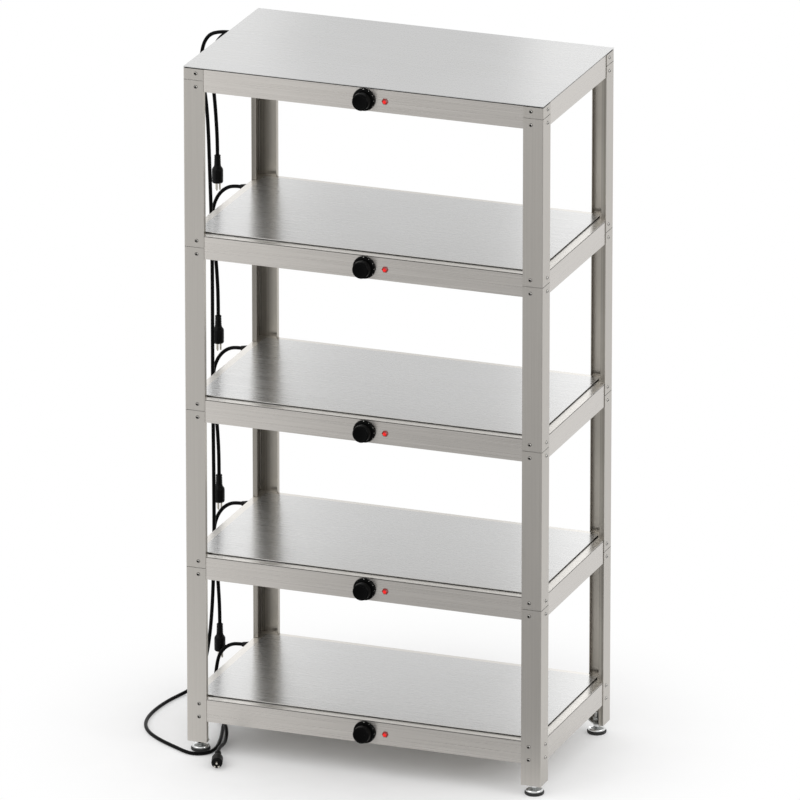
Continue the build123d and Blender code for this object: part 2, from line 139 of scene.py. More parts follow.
def sizes():
    return bpy.context.scene.heated_shelf_sizes


# Materials

def add(tree, kind, settings=None, values=None, links=None, stops=None):
    """Adds a node with its own settings, socket values, incoming links and ramp stops."""
    node = tree.nodes.new(kind)
    for name, value in (settings or {}).items():
        setattr(node, name, value)
    for name, value in (values or {}).items():
        node.inputs[name].default_value = value
    for name, source in (links or {}).items():
        tree.links.new(source, node.inputs[name])
    for index, (position, tone) in enumerate(stops or ()):
        elements = node.color_ramp.elements
        element = elements[index] if index < len(elements) else elements.new(position)
        element.position = position
        element.color = (*tone, 1)
    return node


def blank(name):
    """A material with an empty node tree and its Object coordinates."""
    material = bpy.data.materials.new(name)
    material.use_nodes = True
    material.node_tree.nodes.clear()
    place = add(material.node_tree, "ShaderNodeTexCoord")
    return material, material.node_tree, place.outputs["Object"]


def close(tree, shader):
    """Ends a material's tree in its output."""
    add(tree, "ShaderNodeOutputMaterial", links={"Surface": shader.outputs["BSDF"]})


def shaded(tone, factor):
    """The same colour, lighter or darker."""
    return [min(1, v * factor) for v in tone]


def with_painted_shade_inside(tree, place, ground, tone):
    """The ground finish outside, and inside a folded angle a darker tone: painted shade.

    The inside has streaks about 6 mm wide along the post, and its painted shade is darkest in the fold."""
    half = Vector((RIGHT - LEFT, BACK - FRONT, 0)) * MM / 2
    skin = 0.8 * MM
    from_middle = add(
        tree, "ShaderNodeVectorMath", {"operation": "SUBTRACT"}, links={0: place},
        values={1: (LEFT * MM + half.x, FRONT * MM + half.y, 0)},
    )
    reach = add(
        tree, "ShaderNodeVectorMath", {"operation": "ABSOLUTE"}, links={0: from_middle.outputs["Vector"]}
    )
    axes = add(tree, "ShaderNodeSeparateXYZ", links={"Vector": reach.outputs["Vector"]})
    on_side = add(
        tree, "ShaderNodeMath", {"operation": "GREATER_THAN"}, links={0: axes.outputs["X"]},
        values={1: half.x - skin},
    )
    on_front = add(
        tree, "ShaderNodeMath", {"operation": "GREATER_THAN"}, links={0: axes.outputs["Y"]},
        values={1: half.y - skin},
    )
    outer = add(
        tree, "ShaderNodeMath", {"operation": "MAXIMUM"},
        links={0: on_side.outputs["Value"], 1: on_front.outputs["Value"]},
    )
    from_fold = add(
        tree, "ShaderNodeMapRange", links={"Value": axes.outputs["X"]},
        values={"From Min": half.x - 2 * MM, "From Max": half.x - POST_WIDTH * MM},
    )
    along = add(tree, "ShaderNodeMapping", values={"Scale": (170, 170, 0.5)}, links={"Vector": place})
    streaks = add(
        tree, "ShaderNodeTexNoise", values={"Scale": 1.0, "Detail": 1.0},
        links={"Vector": along.outputs["Vector"]},
    )
    streaks_and_shade = add(
        tree, "ShaderNodeMath", {"operation": "MULTIPLY_ADD"},
        links={0: streaks.outputs["Fac"], 2: from_fold.outputs["Result"]}, values={1: 1.1},
    )
    # Painted shade: dark in the fold of the angle and lighter towards its free edge
    inside_shade_ramp = add(
        tree, "ShaderNodeValToRGB", links={"Fac": streaks_and_shade.outputs["Value"]},
        stops=[(0.35, shaded(tone, 0.7)), (1.0, shaded(tone, 1.7))],
    )
    both = add(
        tree, "ShaderNodeMix", {"data_type": "RGBA"},
        links={"Factor": outer.outputs["Value"], 6: inside_shade_ramp.outputs["Color"], 7: ground},
    )
    return both.outputs[2]


def ground_stainless(name, light, dark, grain, across, roughness, inside=None):
    """304 stainless sheet, belt ground: fine parallel lines that spread reflections across the grain.

    The real lines are about 0.1 mm apart. They are drawn about 2 mm apart, so that they show."""
    material, tree, place = blank(name)
    stretch = add(tree, "ShaderNodeMapping", values={"Scale": grain}, links={"Vector": place})
    lines = add(
        tree, "ShaderNodeTexNoise", values={"Scale": 1.0, "Detail": 4.0, "Roughness": 0.62},
        links={"Vector": stretch.outputs["Vector"]},
    )
    clouds = add(tree, "ShaderNodeTexNoise", values={"Scale": 3.2, "Detail": 2.0}, links={"Vector": place})
    mixed = add(
        tree, "ShaderNodeMath", {"operation": "MULTIPLY_ADD"},
        links={0: clouds.outputs["Fac"], 2: lines.outputs["Fac"]}, values={1: 0.3},
    )
    tone = add(
        tree, "ShaderNodeValToRGB", links={"Fac": mixed.outputs["Value"]},
        stops=[(0.48, list(dark)), (0.82, list(light))],
    )
    rough = add(
        tree, "ShaderNodeMapRange", links={"Value": lines.outputs["Fac"]},
        values={"From Min": 0.3, "From Max": 0.7, "To Min": roughness - 0.04, "To Max": roughness + 0.05},
    )
    bump = add(
        tree, "ShaderNodeBump", values={"Strength": 0.12, "Distance": 0.00006},
        links={"Height": lines.outputs["Fac"]},
    )
    finish_tone = tone.outputs["Color"]
    # Inside the posts the tone is darker: painted shade
    if inside:
        finish_tone = with_painted_shade_inside(tree, place, finish_tone, inside)
    if across is None:
        faces = add(tree, "ShaderNodeNewGeometry")
        tangent = add(
            tree, "ShaderNodeVectorMath", {"operation": "CROSS_PRODUCT"}, values={1: (0, 0, 1)},
            links={0: faces.outputs["Normal"]},
        )
    else:
        tangent = add(tree, "ShaderNodeCombineXYZ", values=dict(zip("XYZ", across)))
    shader = add(
        tree, "ShaderNodeBsdfPrincipled", values={"Metallic": 1.0, "Anisotropic": 0.75},
        links={
            "Base Color": finish_tone, "Roughness": rough.outputs["Result"],
            "Normal": bump.outputs["Normal"], "Tangent": tangent.outputs["Vector"],
        },
    )
    close(tree, shader)
    return material


def mottled(name, tone, scale, spread, roughness, metallic=0.0, grain=0.0002, **sockets):
    """A surface whose colour, roughness and height follow one noise of a real size.

    Scale is in lumps per metre, spread is the share by which the colour varies, and grain is the
    height of the lumps in metres."""
    material, tree, place = blank(name)
    noise = add(
        tree, "ShaderNodeTexNoise", values={"Scale": scale, "Detail": 3.0, "Roughness": 0.6},
        links={"Vector": place},
    )
    hue = add(
        tree, "ShaderNodeValToRGB", links={"Fac": noise.outputs["Fac"]},
        stops=[(0.32, shaded(tone, 1 - spread)), (0.68, shaded(tone, 1 + spread))],
    )
    rough = add(
        tree, "ShaderNodeMapRange", links={"Value": noise.outputs["Fac"]},
        values={"From Min": 0.3, "From Max": 0.7, "To Min": roughness * 0.85, "To Max": roughness * 1.15},
    )
    bump = add(
        tree, "ShaderNodeBump", values={"Strength": 0.3, "Distance": grain},
        links={"Height": noise.outputs["Fac"]},
    )
    values = {"Metallic": metallic}
    values.update({key.replace("_", " "): value for key, value in sockets.items()})
    shader = add(
        tree, "ShaderNodeBsdfPrincipled", values=values,
        links={
            "Base Color": hue.outputs["Color"], "Roughness": rough.outputs["Result"],
            "Normal": bump.outputs["Normal"],
        },
    )
    close(tree, shader)
    return material


def make_materials():
    """All finishes by name, each named for what the real surface is, apart from the painted shade of the
    screw sockets.
    """
    look = finishes()
    return {
        # Aprons: the grain runs along the sheet on every upright face
        "apron": ground_stainless(
            "Ground 304 stainless, apron", look.apron_light, look.apron_dark, (3, 3, 520), (0, 0, 1), 0.29
        ),
        # Ledges and plates: the grain runs along X
        "ledge": ground_stainless(
            "Ground 304 stainless, ledge", look.ledge_light, look.ledge_dark, (3, 520, 520), (0, 1, 0), 0.3
        ),
        "plate": ground_stainless(
            "Ground 304 stainless, heated plate", look.plate_light, look.plate_dark, (3, 420, 420),
            (0, 1, 0), 0.27,
        ),
        # Posts: the grain runs up the folded angle, and the darker inside tone is painted shade
        "post": ground_stainless(
            "Ground 304 stainless, post", look.post_light, look.post_dark, (520, 520, 3), None, 0.34,
            linear("#938F88"),
        ),
        # Bright steel heads show fine wear in their gloss
        "screw": mottled("Polished A2 stainless", linear("#C9C7C3"), 900, 0.05, 0.14, 1.0, 0.00003),
        # Painted shade: the sockets and the rim under the heads are near black
        "socket": mottled(
            "Painted shade in a screw socket", linear("#0B0A09"), 900, 0.3, 0.6, Specular_IOR_Level=0.15
        ),
        # Chromium over steel is bluish and almost a mirror
        "chrome": mottled("Chromium plated steel", linear("#DCDDDD"), 260, 0.03, 0.08, 1.0, 0.00002),
        # Zinc shows a fine crystalline spangle
        "zinc": mottled("Bright zinc plated steel", linear("#B9BAB8"), 700, 0.12, 0.32, 1.0, 0.00006),
        # Phenolic is hard and glossy, with a very slight orange peel
        "knob": mottled(
            "Phenolic moulding, black", look.knob, 420, 0.35, 0.26, 0.0, 0.00004, Specular_IOR_Level=0.05
        ),
        # Pad printed ink is thin and slightly uneven
        "ink": mottled("Pad printed ink, off white", look.marks, 1500, 0.12, 0.5),
        # Glass filled nylon is dull, with a coarse mould texture
        "nylon": mottled(
            "Glass filled nylon, black", linear("#0A0A0A"), 1300, 0.3, 0.48, Specular_IOR_Level=0.2
        ),
        # Plasticised PVC has a soft gloss and long, shallow ripples
        "cable": mottled("PVC cable sheath, black", look.cable, 240, 0.3, 0.36, Specular_IOR_Level=0.06),
        "plug": mottled("PVC moulding, black", look.plug, 1100, 0.3, 0.42, Specular_IOR_Level=0.12),
        # Nickel over brass is warm and bright
        "pin": mottled("Nickel plated brass", linear("#CFCBC2"), 800, 0.06, 0.2, 1.0, 0.00003),
        # EPDM and nitrile rubber are dull and slightly uneven
        "seal": mottled("EPDM seal, black", linear("#070706"), 1600, 0.3, 0.7, Specular_IOR_Level=0.08),
        "pad": mottled("Nitrile rubber, black", linear("#141414"), 1200, 0.3, 0.58, 0.0, 0.00012),
        # The lens is deep red at its edge and lit in the middle, where the lamp is behind it
        "lens": lamp_lens("Polycarbonate lens, red", look.lens, 0.05),
        "lit": lamp_lens("Polycarbonate lens, lit from behind", look.lens, 3.0),
        "heater": heater_mat(),
        "wool": mineral_wool(),
        # Ceramic filled phenolic of the housings is cream and dusty
        "housing": mottled("Melamine moulding, cream", linear("#D9D2C0"), 900, 0.08, 0.5, 0.0, 0.0001),
    }


def lamp_lens(name, tone, glow):
    """Red polycarbonate over a lamp, with a fine grain moulded in."""
    material, tree, place = blank(name)
    grain = add(
        tree, "ShaderNodeTexNoise", values={"Scale": 700.0, "Detail": 2.0}, links={"Vector": place}
    )
    hue = add(
        tree, "ShaderNodeValToRGB", links={"Fac": grain.outputs["Fac"]},
        stops=[(0.3, shaded(tone, 0.7)), (0.7, list(tone))],
    )
    bump = add(
        tree, "ShaderNodeBump", values={"Strength": 0.2, "Distance": 0.0001},
        links={"Height": grain.outputs["Fac"]},
    )
    shader = add(
        tree, "ShaderNodeBsdfPrincipled",
        values={
            "Roughness": 0.14, "IOR": 1.58, "Specular IOR Level": 0.4, "Emission Strength": glow,
            "Subsurface Weight": 0.3, "Subsurface Scale": 0.003,
        },
        links={
            "Base Color": hue.outputs["Color"], "Emission Color": hue.outputs["Color"],
            "Normal": bump.outputs["Normal"],
        },
    )
    close(tree, shader)
    return material


def heater_mat():
    """Silicone heating mat: red-brown rubber over a wire laid in rows 12 mm apart."""
    material, tree, place = blank("Silicone heating mat")
    rows = add(
        tree, "ShaderNodeTexWave", {"wave_type": "BANDS", "bands_direction": "Y"},
        values={"Scale": 26.0, "Distortion": 0.6, "Detail": 1.0}, links={"Vector": place},
    )
    hue = add(
        tree, "ShaderNodeValToRGB", links={"Fac": rows.outputs["Fac"]},
        stops=[(0.2, linear("#7A2E1C")), (0.9, linear("#9A3E26"))],
    )
    bump = add(
        tree, "ShaderNodeBump", values={"Strength": 0.5, "Distance": 0.0008},
        links={"Height": rows.outputs["Fac"]},
    )
    shader = add(
        tree, "ShaderNodeBsdfPrincipled", values={"Roughness": 0.55},
        links={"Base Color": hue.outputs["Color"], "Normal": bump.outputs["Normal"]},
    )
    close(tree, shader)
    return material


def mineral_wool():
    """Stone wool slab: matted fibres laid flat, ochre with paler tufts."""
    material, tree, place = blank("Stone wool slab")
    stretch = add(tree, "ShaderNodeMapping", values={"Scale": (60, 60, 420)}, links={"Vector": place})
    fibres = add(
        tree, "ShaderNodeTexNoise", values={"Scale": 4.0, "Detail": 6.0, "Roughness": 0.75},
        links={"Vector": stretch.outputs["Vector"]},
    )
    hue = add(
        tree, "ShaderNodeValToRGB", links={"Fac": fibres.outputs["Fac"]},
        stops=[(0.3, linear("#8C7A4E")), (0.7, linear("#C2B283"))],
    )
    bump = add(
        tree, "ShaderNodeBump", values={"Strength": 0.8, "Distance": 0.0015},
        links={"Height": fibres.outputs["Fac"]},
    )
    shader = add(
        tree, "ShaderNodeBsdfPrincipled", values={"Roughness": 0.95},
        links={"Base Color": hue.outputs["Color"], "Normal": bump.outputs["Normal"]},
    )
    close(tree, shader)
    return material


MATERIALS = {}


def finish(name):
    """The material of one finish, all of them made at the first call."""
    if not MATERIALS:
        MATERIALS.update(make_materials())
    return MATERIALS[name]


# Modelling

def spun(bm, profile, steps, material=0):
    """Spins (radius, height) points in millimetres round Z into a closed turned form."""
    ring = [bm.verts.new((radius * MM, 0, height * MM)) for radius, height in profile]
    edges = [bm.edges.new(pair) for pair in zip(ring, ring[1:])]
    before = set(bm.faces)
    bmesh.ops.spin(
        bm, geom=ring + edges, cent=(0, 0, 0), axis=(0, 0, 1), angle=2 * pi, steps=steps, use_merge=True
    )
    made = [face for face in bm.faces if face not in before]
    corners = list({corner for face in made for corner in face.verts})
    bmesh.ops.remove_doubles(bm, verts=corners, dist=1e-6)
    made = [face for face in bm.faces if face not in before]
    bmesh.ops.recalc_face_normals(bm, faces=made)
    for face in made:
        face.material_index = material
    return made


def soften(bm, faces, width, angle=28, segments=2):
    """Rounds the sharp edges of some faces by a small bevel."""
    inside = set(faces)
    edges = {
        edge for face in faces for edge in face.edges
        if len(edge.link_faces) == 2 and edge.calc_face_angle() > radians(angle)
        and all(side in inside for side in edge.link_faces)
    }
    bmesh.ops.bevel(
        bm, geom=list(edges), offset=width * MM, offset_type="OFFSET", segments=segments, profile=0.5,
        affect="EDGES", material=-1, clamp_overlap=True,
    )


def placed(facing, x, y, z):
    """A matrix that turns a fitting to face one way and moves it to a point in millimetres."""
    return Matrix.Translation(Vector((x, y, z)) * MM) @ FACING[facing]


def piece(name, bm, materials, body, nodes, sharp):
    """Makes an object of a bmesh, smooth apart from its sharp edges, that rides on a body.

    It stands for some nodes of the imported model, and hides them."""
    mesh = bpy.data.meshes.new(name)
    bm.to_mesh(mesh)
    bm.free()
    mesh.shade_smooth()
    mesh.set_sharp_from_angle(angle=radians(sharp))
    for key in materials:
        mesh.materials.append(finish(key))
    made = bpy.data.objects.new(name, mesh)
    bpy.context.scene.collection.objects.link(made)
    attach(made, body)
    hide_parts(*nodes)
    return made


def join(whole, part):
    """Adds one bmesh to another, and frees it."""
    mesh = bpy.data.meshes.new("part")
    part.to_mesh(mesh)
    part.free()
    whole.from_mesh(mesh)
    bpy.data.meshes.remove(mesh)


def tier_height(tier):
    """Height of the middle of a tier's apron, in millimetres."""
    return TIER_BOTTOMS[tier - 1] + APRON_MIDDLE


class SHELF_OT_finish_sheet(bpy.types.Operator):
    """Gives the rack's sheet, plates and inner parts their finishes"""

    bl_idname = "heated_shelf.finish_sheet"
    bl_label = "Finish sheet and inner parts"

    def execute(self, context):
        kinds = (
            ("post_screws", "screw"), ("post_", "post"), ("apron_", "apron"), ("rim_", "ledge"),
            ("deck_", "plate"), ("bottom_covers", "ledge"), ("seals", "seal"), ("heating_mats", "heater"),
            ("insulation_slabs", "wool"), ("thermostats", "housing"), ("terminal_blocks", "housing"),
            ("knob_shaft_", "zinc"), ("foot_brackets", "zinc"), ("foot_stem_", "chrome"),
            ("foot_pad_", "pad"), ("knob_", "knob"), ("pilot_lamps", "lens"), ("cord_glands", "nylon"),
            ("shelf_cord_", "cable"), ("supply_co", "cable"), ("shelf_plug_", "plug"),
            ("supply_plug", "plug"),
        )
        for name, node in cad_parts.items():
            key = next(key for start, key in kinds if name.startswith(start))
            node.data.materials.clear()
            node.data.materials.append(finish(key))
        return {"FINISHED"}


class SHELF_OT_knobs(bpy.types.Operator):
    """Builds the control knobs with their printed rings"""

    bl_idname = "heated_shelf.knobs"
    bl_label = "Control knobs"

    def execute(self, context):
        for tier in range(1, 6):
            bm = bmesh.new()
            body = spun(
                bm,
                [(0, 1.4), (24.6, 1.4), (24.6, 1), (27.5, 1), (27.5, 4.6), (25.6, 8), (21.5, 8),
                 (21.2, 9.4), (20.6, 27.4), (18.6, 30), (16.2, 30), (15.6, 29.5), (0, 29.3)],
                72,
            )
            soften(bm, body, 0.55)
            self.marks(bm)
            bm.transform(placed("front", KNOB_X, APRON_FACE, tier_height(tier)))
            piece(
                f"control_knob_{tier}", bm, ["knob", "ink"], f"knob_{tier}", [f"knob_{tier}"],
                30,
            )
        return {"FINISHED"}

    def marks(self, bm):
        """Eleven marks round the bevel of the skirt, the one at the top broader."""
        measure = sizes()
        slope = atan2(3.4, 1.9)
        for step in range(11):
            turn = radians(90 - 30 * step)
            made = bmesh.ops.create_cube(bm, size=1)["verts"]
            width = measure.mark_width * (3 if step == 0 else 1)
            form = (
                Matrix.Rotation(turn, 4, "Z")
                @ Matrix.Translation(Vector((26.55, 0, 6.3)) * MM)
                @ Matrix.Rotation(slope, 4, "Y")
                @ Matrix.Diagonal((measure.mark_length, width, 0.0003, 1))
            )
            bmesh.ops.transform(bm, matrix=form, verts=made)
            for face in {face for corner in made for face in corner.link_faces}:
                face.material_index = 1


class SHELF_OT_lamps(bpy.types.Operator):
    """Builds the pilot lamps with their faceted lenses"""

    bl_idname = "heated_shelf.lamps"
    bl_label = "Pilot lamps"

    def execute(self, context):
        for tier in range(1, 6):
            bm = bmesh.new()
            collar = spun(bm, [(0, -18), (5.8, -18), (5.8, 0), (7, 0), (7, 0.6), (6.8, 0.8), (0, 0.8)], 36)
            soften(bm, collar, 0.1)
            lens = spun(bm, [(0, 0.7), (8, 0.7), (8, 2.2), (4.8, 5.4), (0, 6)], sizes().lens_facets)
            soften(bm, lens, 0.15, 14, 1)
            for face in bm.faces:
                middle = face.calc_center_median() / MM
                if middle.xy.length < 4 and middle.z > 5.4:
                    face.material_index = 1
            bm.transform(placed("front", LAMP_X, APRON_FACE, tier_height(tier)))
            piece(f"lamp_lens_{tier}", bm, ["lens", "lit"], "root", ["pilot_lamps"], 12)
        return {"FINISHED"}


class SHELF_OT_screws(bpy.types.Operator):
    """Builds the button head screws of the posts, with their hexagon sockets"""

    bl_idname = "heated_shelf.screws"
    bl_label = "Post screws"

    def execute(self, context):
        bm = bmesh.new()
        for tier in range(1, 6):
            for step in (-SCREW_RISE, SCREW_RISE):
                z = tier_height(tier) + step
                for x in (LEFT + SCREW_INSET, RIGHT - SCREW_INSET):
                    self.head(bm, placed("front", x, FRONT, z), x + z)
                    self.head(bm, placed("back", x, BACK, z), x - z)
                for y in (FRONT + SCREW_INSET, BACK - SCREW_INSET):
                    self.head(bm, placed("left", LEFT, y, z), y + z)
                    self.head(bm, placed("right", RIGHT, y, z), y - z)
        piece("screw_heads", bm, ["screw", "socket"], "root", ["post_screws"], 40)
        return {"FINISHED"}

    def head(self, bm, place, turn):
        """One domed head with a hexagon socket, turned as it was left when tightened.

        The socket is spun with twelve sides, and every second corner comes in to leave six."""
        width = sizes().recess_width / MM / 2
        part = bmesh.new()
        dome = [(4.6, 0), (4.6, 0.3), (3.9, 0.35), (3.8, 0.95), (3.4, 1.7), (width + 0.3, 2.2)]
        for face in spun(part, [(0, 0)] + dome + [(width, 2.15), (width, 0.9), (0, 0.8)], 12):
            middle = face.calc_center_median() / MM
            # Painted shade: the socket and the thin rim at the foot of the head take the near black material
            in_socket = middle.xy.length < width + 0.1 and middle.z > 0.5
            if in_socket or middle.z < 0.34:
                face.material_index = 1
        for corner in part.verts:
            step = round(atan2(corner.co.y, corner.co.x) * 6 / pi)
            if step % 2 and corner.co.z > 0.5 * MM and corner.co.xy.length < (width + 0.1) * MM:
                corner.co.xy *= cos(pi / 6)
        part.transform(place @ Matrix.Rotation(turn, 4, "Z"))
        join(bm, part)


class SHELF_OT_glands(bpy.types.Operator):
    """Builds the cord glands with their ribbed strain reliefs"""

    bl_idname = "heated_shelf.glands"
    bl_label = "Cord glands"

    def execute(self, context):
        places = [(tier, GLAND_AHEAD, GLAND_RISES[tier - 1]) for tier in range(1, 6)]
        places.append((1, SUPPLY_AHEAD, SUPPLY_RISE))
        bm = bmesh.new()
        for tier, ahead, rise in places:
            part = bmesh.new()
            thread = [(0, -10), (7.4, -10)]
            for step in range(6):
                low = -9.6 + 1.5 * step
                thread += [(7.4, low), (7.9, low + 0.4), (7.9, low + 0.7), (7.4, low + 1.1)]
            spun(part, thread + [(7.4, 0), (0, 0)], 32)
            nut = spun(part, [(0, 0), (11, 0), (11, 5), (0, 5)], 6)
            soften(part, nut, 0.6)
            relief = [(0, 5), (9, 5)]
            for step in range(5):
                low = 6.2 + 3.4 * step
                wide = 9 - 3 * (low - 5) / 18.5
                relief += [(wide, low), (wide - 0.9, low + 0.5)]
                relief += [(wide - 1, low + 1.5), (wide - 0.45, low + 2)]
            cone = spun(part, relief + [(6, 23.5), (4.6, 23.5), (0, 23.3)], 32)
            soften(part, cone, 0.2, 40, 1)
            part.transform(placed("left", GLAND_FACE, BACK - ahead, tier_height(tier) + rise))
            join(bm, part)
        piece("gland_reliefs", bm, ["nylon"], "root", ["cord_glands"], 35)
        return {"FINISHED"}


class SHELF_OT_brackets(bpy.types.Operator):
    """Builds the plates and nuts inside the legs, their free corners cut off"""

    bl_idname = "heated_shelf.brackets"
    bl_label = "Leg brackets"

    def execute(self, context):
        width, gauge, middle, cut = 47, 3, 29.5, 26
        bm = bmesh.new()
        for corner in CORNERS:
            inward = Vector((1 if "left" in corner else -1, 1 if "front" in corner else -1, 0))
            foot = Vector((LEFT if "left" in corner else RIGHT, FRONT if "front" in corner else BACK, 0))
            part = bmesh.new()
            bmesh.ops.create_cube(part, size=1)
            part.transform(Matrix.Diagonal((width * MM, width * MM, gauge * MM, 1)))
            free = [
                edge for edge in part.edges
                if all(end.co.dot(inward) > width * MM / 2 for end in edge.verts)
            ]
            bmesh.ops.bevel(
                part, geom=free, offset=cut * MM, offset_type="OFFSET", segments=1, profile=0.5,
                affect="EDGES", material=-1,
            )
            part.transform(Matrix.Translation((foot + inward * FOOT_INSET + Vector((0, 0, middle))) * MM))
            join(bm, part)
            part = bmesh.new()
            ring = [(5.1, 31), (8.4, 31), (9, 31.8), (9, 40.2), (8.4, 41), (5.1, 41), (5.1, 31)]
            soften(part, spun(part, ring, 6), 0.3, 40, 1)
            part.transform(placed("up", *(foot + inward * FOOT_INSET)))
            join(bm, part)
        piece("leg_brackets", bm, ["zinc"], "root", ["foot_brackets"], 30)
        return {"FINISHED"}


class SHELF_OT_feet(bpy.types.Operator):
    """Builds the levelling feet: rubber pads and chromed discs with threaded rods"""

    bl_idname = "heated_shelf.feet"
    bl_label = "Levelling feet"

    def execute(self, context):
        pitch = sizes().thread_pitch / MM
        for corner in CORNERS:
            x = LEFT + FOOT_INSET if "left" in corner else RIGHT - FOOT_INSET
            y = FRONT + FOOT_INSET if "front" in corner else BACK - FOOT_INSET
            bm = bmesh.new()
            pad = spun(
                bm, [(0, 0.8), (17, 0.8), (18.2, 0), (21.5, 0), (23.5, 2), (23.5, 6.6), (22.4, 8), (0, 8)], 64
            )
            soften(bm, pad, 0.5)
            bm.transform(placed("up", x, y, 0))
            piece(
                f"rubber_pad_{corner}", bm, ["pad"], f"foot_pad_{corner}", [f"foot_pad_{corner}"],
                30,
            )
            bm = bmesh.new()
            profile = [(0, 8.2), (21.2, 8.2), (21.5, 8.8), (21.5, 10.8), (20.6, 12.6), (18, 14.3),
                       (13.6, 15.4), (9.6, 16.4), (8, 17.8), (8, 28), (5, 28)]
            height = 28.0
            while height + pitch < 53:
                profile += [(4.3, height + pitch * 0.45), (5, height + pitch * 0.95)]
                height += pitch
            stem = spun(bm, profile + [(4.4, 54), (0, 54)], 48)
            bm.transform(placed("up", x, y, 0))
            piece(
                f"chromed_foot_{corner}", bm, ["chrome"], f"foot_stem_{corner}",
                [f"foot_stem_{corner}"], 38,
            )
        return {"FINISHED"}


# Cords: out from the left side, ahead of the back, and height, in millimetres
GLAND_REACH = 22.0
SHELF_CORD = [
    (GLAND_REACH, 65, 0), (40, 65, 0), (58, 65, -6.5), (74, 65.5, -20), (86, 65.5, -39.5),
    (93.5, 66, -65), (95.5, 66, -95), (93, 64, -129), (90.5, 59, -172), (89.3, 52, -226),
    (89, 45, -287),
]
SHELF_DROPS = (321.5, 339.5, 337.0, 324.0)
BOTTOM_CORD = [
    (GLAND_REACH, 65, 124), (40, 65, 124), (58, 65, 117.5), (74, 65.5, 104), (84.5, 66, 84.5),
    (88.5, 69, 59), (88, 78, 34), (83, 95, 15), (75, 119, 6), (66, 146, 5), (54, 175, 5), (40, 203, 5),
    (25, 229, 5), (12, 257, 5.9), (-3.5, 287, 12), (-19, 312, 21.5), (-37, 338, 22.5),
    (-53, 365, 17), (-63, 394, 9.5), (-70, 424, 7), (-73, 452, 10.5), (-77, 481, 13.9),
    (-86.5, 508.6, 13.9),
]
SUPPLY_CORD = [
    (GLAND_REACH, 95, 1684.5), (42, 95, 1684.5), (64, 95, 1682), (85, 94.5, 1675), (99, 94.5, 1659),
    (107, 94, 1637), (110.5, 94, 1609), (108.5, 94, 1577), (102.5, 94, 1539), (96.5, 94, 1490),
    (92.5, 94, 1425), (90, 94.5, 1345), (87, 95, 1250), (84.5, 95, 1148),
    (84, 95, 1040), (84.5, 94.5, 910), (85, 94, 778),
    (84, 94, 646), (83, 94.5, 516), (83, 95, 392), (85.5, 95.5, 284), (90, 96, 198),
    (97, 97, 130), (107, 99, 76), (121, 104, 34), (138, 117, 10), (152, 144, 5),
    (163, 185, 5), (170, 233, 5), (172, 283, 5), (167, 334, 5), (152, 379, 5),
    (126, 417, 5), (92, 447, 5), (56, 471, 5), (24, 490, 5), (2, 503.5, 5),
    (-18, 511, 5), (-38.5, 507.5, 5), (-54.5, 494, 5), (-61.5, 474, 5), (-60, 442, 5),
    (-51, 402, 5), (-37, 354, 5), (-19, 300, 5), (-9, 243, 5), (-15, 187, 5),
    (-31, 133, 5), (-49, 80, 5), (-61, 28, 5), (-64.3, -24, 5), (-64.3, -70, 5),
]
COIL_CENTRE = (-120.3, -80.0)
COIL_RADIUS = 56.0
COIL_PITCH = 9.6
COIL_TURNS = 2.5
COIL_STEPS = 16
FLOOR_LIFT = 5.0
CORD_DIAMETER = 9.0


def spot(out, ahead, up):
    """A route's point in the row frame, in metres."""
    return Vector((LEFT - out, BACK - ahead, up)) * MM


def coil_points():
    """The turns of the put away coil, wound in and then out again on a second layer."""
    points = []
    for step in range(1, int(COIL_TURNS * COIL_STEPS) + 1):
        turn = step / COIL_STEPS
        angle = pi - 2 * pi * turn
        radius = COIL_RADIUS - COIL_PITCH * (COIL_TURNS / 2 - abs(turn - COIL_TURNS / 2))
        climb = min(max((turn - COIL_TURNS / 2) * 2 + 0.5, 0), 1)
        up = FLOOR_LIFT + COIL_PITCH * climb * climb * (3 - 2 * climb)
        points.append(spot(COIL_CENTRE[0] - radius * cos(angle), COIL_CENTRE[1] - radius * sin(angle), up))
    # The last stretch runs straight into the plug
    end = points[-1]
    return points + [end + Vector((0, -22, 0)) * MM, end + Vector((0, -45, 0)) * MM]


def shelf_points(tier):
    """The route of a tier's own cord."""
    if tier == 5:
        return [spot(*point) for point in BOTTOM_CORD]
    height = tier_height(tier) + GLAND_RISES[tier - 1]
    points = [spot(out, ahead, height + up) for out, ahead, up in SHELF_CORD]
    out, ahead, _ = SHELF_CORD[-1]
    return points + [spot(out, ahead, height - SHELF_DROPS[tier - 1])]


def plug_place(end, heading):
    """A matrix from a plug's own axes to its place at the end of a cord."""
    side = Vector((1, 0, 0)) if abs(heading.z) > 0.9 else Vector((0, 0, 1)).cross(heading).normalized()
    other = heading.cross(side)
    turn = Matrix((side, other, heading)).transposed().to_4x4()
    return Matrix.Translation(end) @ turn


